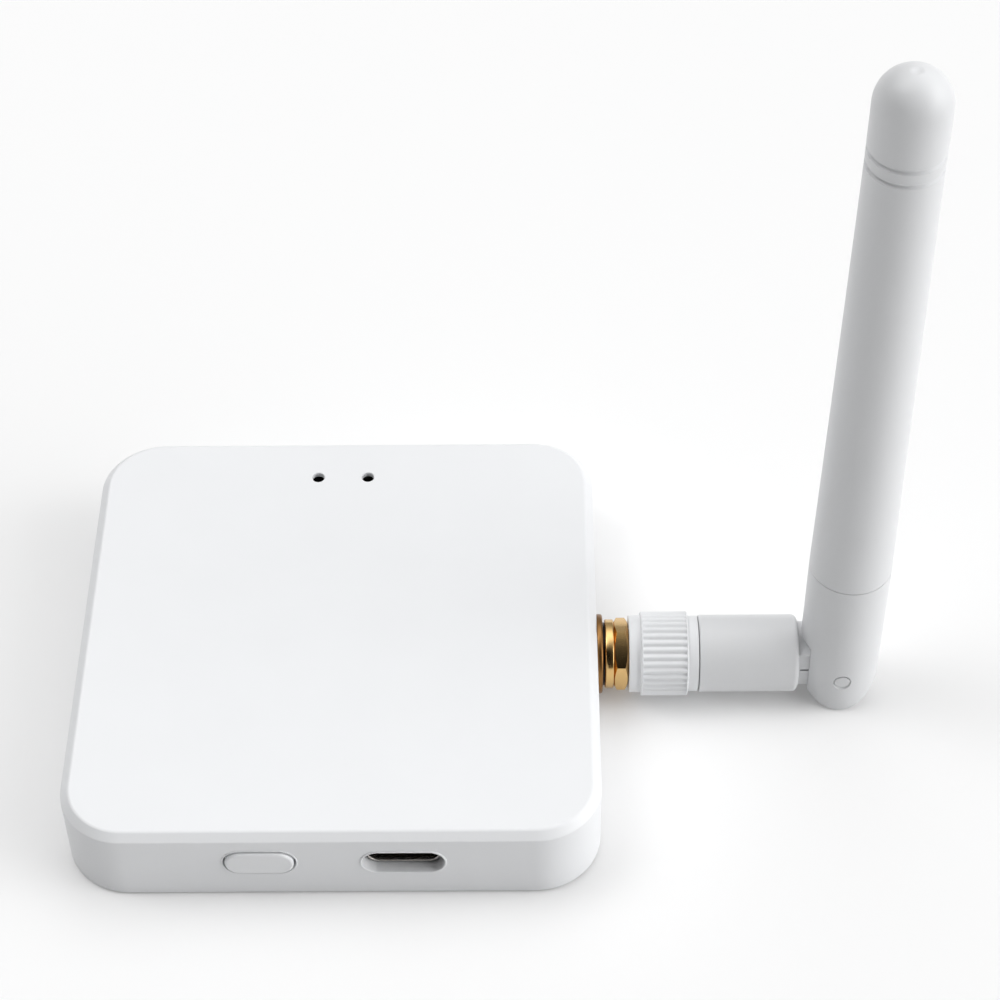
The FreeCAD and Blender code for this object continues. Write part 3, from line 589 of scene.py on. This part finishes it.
nut_end, nut_flats, nut_turned, nut_strips = 36.5 * mm, 8.2 * mm, 3.5, 16
crown_rise, crown_fall, nut_ease = 0.04 * mm, 0.15 * mm, 0.11 * mm
nut = drill("hex_nut_chamfered", nut_flats / math.sqrt(3), (ring_end, 0, jack_z),
            (nut_end, 0, jack_z), 6)
edit(nut)
select(nut, "EDGE", lambda corners: at(0, ring_end)(corners) or at(0, nut_end)(corners))
bpy.ops.mesh.subdivide(number_cuts=nut_strips - 1)
for strip in range(nut_strips // 2 + 1):
    share = strip / (nut_strips // 2)
    select(nut, "VERT", lambda corners: abs(flat_share(corners[0]) - share) < 0.01)
    crown = 1 + (crown_rise - crown_fall * share ** 2) / (nut_flats / 2)
    bpy.ops.transform.resize(value=(1, crown, crown), center_override=(0, 0, jack_z))
bpy.ops.mesh.select_all(action="SELECT")
bpy.ops.transform.rotate(value=math.radians(-nut_turned), orient_axis="X",
                         center_override=(0, 0, jack_z))
bpy.ops.object.mode_set(mode="OBJECT")
corner_radius, chamfer_foot, chamfer_run = 4.74 * mm, 3.95 * mm, 0.5 * mm
carve(nut, turned("nut_chamfer", [(ring_end, 0), (ring_end, chamfer_foot),
                                  (ring_end + chamfer_run, corner_radius),
                                  (nut_end - chamfer_run, corner_radius),
                                  (nut_end, chamfer_foot), (nut_end, 0)], steps=144),
      operation="INTERSECT")
carve(nut, drill("nut_bore", thread_radius, (ring_end - 1 * mm, 0, jack_z),
                 (nut_end + 1 * mm, 0, jack_z), 96))
soften(nut, nut_ease, angle=24)
edit(nut)
bpy.ops.mesh.select_all(action="SELECT")
bpy.ops.mesh.remove_doubles(threshold=0.012 * mm)
bpy.ops.object.mode_set(mode="OBJECT")
fit(nut, gold, "case", "gold_plate", "hex_nut", angle=25)


# The knurled cover is a white moulding pressed over the brass coupling nut: a plain collar at each
# end, and between them 36 broad round ridges that meet in narrow grooves.
def on_crest(corner, line):
    """Whether a corner lies between the run-outs, on this line of any ridge."""
    reach = math.hypot(corner.y, corner.z - jack_z)
    turn = math.atan2(corner.y, corner.z - jack_z) / (2 * math.pi) * ridges * ridge_lines
    return (reach > crest - 1e-6 and round(turn) % ridge_lines == line
            and knurl_start + run_out - 1e-6 < corner.x < knurl_end - run_out + 1e-6)


cover_start, cover_end = 36.56 * mm, 45.35 * mm
knurl_start, knurl_end = 38.04 * mm, 44.04 * mm
collar, back_collar, crest, cover_bore = 4.9 * mm, 4.8 * mm, 5.35 * mm, 3.9 * mm
ridges, ridge_lines, groove_depth = 36, 12, 0.26 * mm
lip, run_out = 0.21 * mm, 0.25 * mm
cover = turned("knurled_cover", [(cover_start, cover_bore), (cover_start, collar),
                                 (knurl_start, collar), (knurl_start, crest),
                                 (knurl_start + lip, crest), (knurl_start + run_out, crest),
                                 (knurl_end - run_out, crest), (knurl_end - lip, crest),
                                 (knurl_end, crest), (knurl_end, back_collar),
                                 (cover_end, back_collar), (cover_end, cover_bore)],
               eases=((1, 0.12 * mm), (3, 0.2 * mm), (8, 0.2 * mm), (10, 0.17 * mm)),
               steps=ridges * ridge_lines)
edit(cover)
for line in range(ridge_lines):
    select(cover, "VERT", lambda corners: on_crest(corners[0], line))
    wave = 0.5 + 0.5 * math.cos(2 * math.pi * line / ridge_lines)
    shrink = 1 - wave ** 1.3 * groove_depth / crest
    bpy.ops.transform.resize(value=(1, shrink, shrink), center_override=(0, 0, jack_z))
bpy.ops.object.mode_set(mode="OBJECT")
fit(cover, moulded("cover_white", white, 0.38), "coupling", "antenna_white", "nut_cover", angle=60)

# The swivel sleeve is a white barrel that turns on the plug's shaft. It ends in a flat tongue with
# a round end, slit along its middle, and the whip hinges there.
sleeve_start, sleeve_end, sleeve_radius = 45.45 * mm, 57.96 * mm, 4.9 * mm
tail_step, tail_end = 48.5 * mm, 51.45 * mm
shaft_bore, tail_bore, end_bore = 2.55 * mm, 3.25 * mm, 0.4 * mm
pivot = Vector((63.42 * mm, 0, jack_z))
tongue_half, tongue_rise, tongue_ease, tongue_hole = 2.9 * mm, 2.87 * mm, 0.08 * mm, 1.0 * mm
slit_half, way_half, slot_half = 0.175 * mm, 0.88 * mm, 0.9 * mm
sleeve = turned("swivel_barrel", [(sleeve_start, shaft_bore), (sleeve_start, sleeve_radius),
                                  (sleeve_end, sleeve_radius), (sleeve_end, end_bore),
                                  (tail_end, end_bore), (tail_end, tail_bore),
                                  (tail_step, tail_bore), (tail_step, shaft_bore)],
                eases=((1, 0.2 * mm), (2, 0.65 * mm)), steps=144)
tongue_root, tongue_tip = sleeve_end - 1.5 * mm, pivot.x + tongue_rise
tongue_low, tongue_high = jack_z - tongue_rise, jack_z + tongue_rise
tongue = profiled("tongue", [(tongue_root, tongue_low), (tongue_tip, tongue_low),
                             (tongue_tip, tongue_high), (tongue_root, tongue_high)],
                  tongue_half, eases=((1, 0.9999 * tongue_rise), (2, 0.9999 * tongue_rise)))
soften(tongue, tongue_ease)
carve(sleeve, tongue, operation="UNION")
carve(sleeve, block("slit", (sleeve_end + 0.3 * mm, -6 * mm, jack_z - slit_half),
                    (pivot.x, 6 * mm, jack_z + slit_half)),
      block("cable_way", (tail_end - 1 * mm, -way_half, jack_z - way_half),
            (pivot.x - 2 * mm, way_half, jack_z + way_half)),
      block("cable_slot", (pivot.x - 2.6 * mm, -slot_half, jack_z - slot_half),
            (pivot.x + 5 * mm, slot_half, jack_z + 5 * mm)),
      drill("tongue_pin_hole", tongue_hole, (pivot.x, -6 * mm, jack_z),
            (pivot.x, 6 * mm, jack_z)))
antenna_white = moulded("antenna_white", (0.78, 0.788, 0.8, 1), 0.38)
fit(sleeve, antenna_white, "sleeve", "antenna_white", "swivel_sleeve", angle=30)

# The whip's foot is a white fork with a rounded heel. Its slot is open to the left and below, so
# the whip stands upright or folds down in line with the plug, and its mouth slopes wider.
whip_radius, heel_radius, seam_z = 5.05 * mm, 5.32 * mm, 22.65 * mm
fork_half, fork_rise, mouth_rise = 3.0 * mm, 2.95 * mm, 4.4 * mm
foot_ease, pin_radius, spigot_radius = 0.15 * mm, 0.95 * mm, 3.4 * mm
foot = drill("whip_foot", whip_radius, (pivot.x, 0, jack_z - heel_radius),
             (pivot.x, 0, seam_z), 128)
left, right, heel_z = pivot.x - heel_radius, pivot.x + heel_radius, jack_z - heel_radius
heel = profiled("heel", [(left, heel_z), (right, heel_z), (right, seam_z + 1 * mm),
                         (left, seam_z + 1 * mm)], 6 * mm,
                eases=((0, 0.9999 * heel_radius), (1, 0.9999 * heel_radius)), segments=40)
carve(foot, heel, operation="INTERSECT")
way_left, way_low = pivot.x - 8 * mm, jack_z - 8 * mm
carve(foot, profiled("fork_way", [
    (way_left, way_low), (pivot.x + fork_rise, way_low), (pivot.x + fork_rise, jack_z + fork_rise),
    (pivot.x - fork_rise, jack_z + fork_rise), (pivot.x - mouth_rise, jack_z + mouth_rise),
    (way_left, jack_z + mouth_rise)], fork_half, eases=((2, fork_rise),)))
soften(foot, foot_ease, angle=28)
sink = [(along * mm, radius * mm) for along, radius in
        ((4.7, 0), (4.7, 1.0), (4.86, 1.1), (4.94, 1.18), (5.1, 1.4), (8, 1.4), (8, 0))]
carve(foot, drill("pin_hole", pin_radius, (pivot.x, -8 * mm, jack_z), (pivot.x, 8 * mm, jack_z)),
      *(turned("pin_sink", sink, axis=(0, side, 0), centre=tuple(pivot), steps=64)
        for side in (-1, 1)))
carve(foot, drill("spigot", spigot_radius, (pivot.x, 0, seam_z - 1 * mm),
                  (pivot.x, 0, seam_z + 6 * mm), 64), operation="UNION")
carve(foot, block("cable_rise", (pivot.x - slot_half, -slot_half, jack_z),
                  (pivot.x + slot_half, slot_half, seam_z + 7 * mm)))
fit(foot, antenna_white, "whip", "antenna_white", "whip_base", angle=30)

# The hinge pin is a white moulded rivet through both cheeks and the tongue, its ends just below
# the surface and slightly crowned.
pin_reach, pin_ease = 4.93 * mm, 0.08 * mm
pin = turned("hinge_rivet", [(-pin_reach, 0), (-pin_reach, pin_radius), (pin_reach, pin_radius),
                             (pin_reach, 0)],
             eases=((1, pin_ease), (2, pin_ease)), axis=(0, 1, 0), centre=tuple(pivot), steps=64)
fit(pin, antenna_white, "whip", "antenna_white", "hinge_pin")

# The whip is a white moulded tube pushed on the foot's spigot. It tapers up to two turned grooves
# and ends in a dome, with the small dimple of its gate at the tip.
tip_z, tube_top, dome_z, foot_round = 98.5 * mm, 4.29 * mm, 94.21 * mm, 0.2 * mm
taper_length, lean, lean_back = 63.6, 0.0143, 0.000037
taper = []
for share in (0, 0.2, 0.4, 0.6, 0.8, 1.0):
    rise = taper_length * share
    taper.append((seam_z + rise * mm, whip_radius - (lean * rise - lean_back * rise ** 2) * mm))
hollow = ((-0.35, 0), (-0.2, 0.16), (-0.07, 0.25), (0.07, 0.25), (0.2, 0.16), (0.35, 0))
grooves = []
for middle in (86.6 * mm, 88.5 * mm):
    for offset, depth in hollow:
        grooves.append((middle + offset * mm, tube_top - depth * mm))
dome = []
for angle in range(0, 84, 6):
    rise, reach = math.sin(math.radians(angle)), math.cos(math.radians(angle))
    dome.append((dome_z + tube_top * rise, tube_top * reach))
gate = [(tip_z - 0.03 * mm, 0.55 * mm), (tip_z - 0.08 * mm, 0.42 * mm), (tip_z - 0.1 * mm, 0)]
tube = turned("whip_barrel", [(dome_z, 0), (dome_z, spigot_radius), (seam_z, spigot_radius)]
              + taper + grooves + dome + gate, eases=((3, foot_round),), axis=(0, 0, 1),
              centre=(pivot.x, 0, 0), steps=128)
fit(tube, antenna_white, "whip", "antenna_white", "whip_tube", angle=35)

# Inside the whip, a brass tube over the coax and a bare wire above it make the aerial. Both have
# the same bright copper finish.
copper = plated("copper_aerial", (0.65, 0.3, 0.14, 1), 0.25, along=(0.04, 0.04, 1))
for node in ("radiator_sleeve", "radiator_wire"):
    dress(node, copper)

# The part stands on a wide pale table that keeps its soft shadow. To the camera, and in bright
# metal, the table is lifted to white.
bpy.ops.object.select_all(action="DESELECT")
bpy.ops.mesh.primitive_plane_add(size=6, location=(0, 0, 0))
table = bpy.context.active_object
table.name = "table"
surface = Finish("table_surface", Base_Color=(0.78, 0.78, 0.78, 1), Roughness=0.9,
                 Specular_IOR_Level=0.0)
seen, mirrored, through = (surface.node("ShaderNodeLightPath", {}, {}, out=ray)
                           for ray in ("Is Camera Ray", "Is Glossy Ray", "Is Transmission Ray"))
glow = surface.node("ShaderNodeEmission", {}, {"Strength": (seen + mirrored + through) * 0.15})
matt = Value(surface.tree, surface.shader.outputs[0])
lit = surface.node("ShaderNodeAddShader", {}, {0: matt, 1: glow})
surface.tree.links.new(lit.socket, surface.output.inputs["Surface"])
table.data.materials.append(surface.material)

# The room's light is soft: broad windows at the right, and ceiling lights behind and to the left.
# It is dark in front, as the gold's dark bands show, but white to look at.
world = bpy.data.worlds.new("studio")
bpy.context.scene.world = world
world.use_nodes = True
room = Recipe(world.node_tree)
direction = room.node("ShaderNodeTexCoord", {}, {}, out="Generated")
to_right, to_back, to_up = (room.node("ShaderNodeSeparateXYZ", {}, {"Vector": direction}, out=axis)
                            for axis in "XYZ")


def soft_light(turn, height, sharpness, light):
    """Light of the room round one direction: degrees from the right to the back, and up."""
    turn, height = math.radians(turn), math.radians(height)
    facing = (to_right * (math.cos(turn) * math.cos(height))
              + to_back * (math.sin(turn) * math.cos(height)) + to_up * math.sin(height))
    facing = facing.math("MAXIMUM", facing, 0.0)
    return facing.math("POWER", facing, sharpness) * light


window = (soft_light(-30, 12, 40, 5.6) + soft_light(0, 12, 40, 4.0) + soft_light(-10, 32, 40, 4.6)
          + soft_light(0, 38, 8, 1.95) + soft_light(-45, 10, 8, 0.25))
behind = soft_light(90, 65, 8, 2.45) + soft_light(90, 10, 8, 0.5)
ceiling = soft_light(180, 66, 40, 5.3) + soft_light(165, 52, 40, 4.0)
seen = room.node("ShaderNodeLightPath", {}, {}, out="Is Camera Ray")
strength = (window + behind + ceiling) * (1 - seen) + seen
sky = room.node("ShaderNodeBackground", {}, {"Strength": strength})
room.node("ShaderNodeOutputWorld", {}, {"Surface": sky})

# The camera looks down at 47 degrees through a long lens, from just right of the case's middle. It
# is turned and tipped by less than a degree, as the photograph was taken.
camera_data = bpy.data.cameras.new("camera")
camera_data.sensor_width = 36.0
camera_data.lens = 93.83
camera_data.clip_start = 0.01
camera_data.clip_end = 10
camera = bpy.data.objects.new("camera", camera_data)
bpy.context.collection.objects.link(camera)
camera_place = Vector((22.655, -211.064, 263.459)) * mm
pitch, yaw, roll = 0.8257, -0.0102, -0.0137
ahead = Vector((math.sin(yaw) * math.cos(pitch), math.cos(yaw) * math.cos(pitch), -math.sin(pitch)))
right = Vector((math.cos(yaw), -math.sin(yaw), 0))
up = right.cross(ahead)
level_right = math.cos(roll) * right + math.sin(roll) * up
level_up = -math.sin(roll) * right + math.cos(roll) * up
facing = Matrix((level_right, level_up, -ahead)).transposed().to_4x4()
camera.matrix_world = Matrix.Translation(camera_place) @ facing
bpy.context.scene.camera = camera
bpy.context.scene.view_settings.view_transform = "Standard"
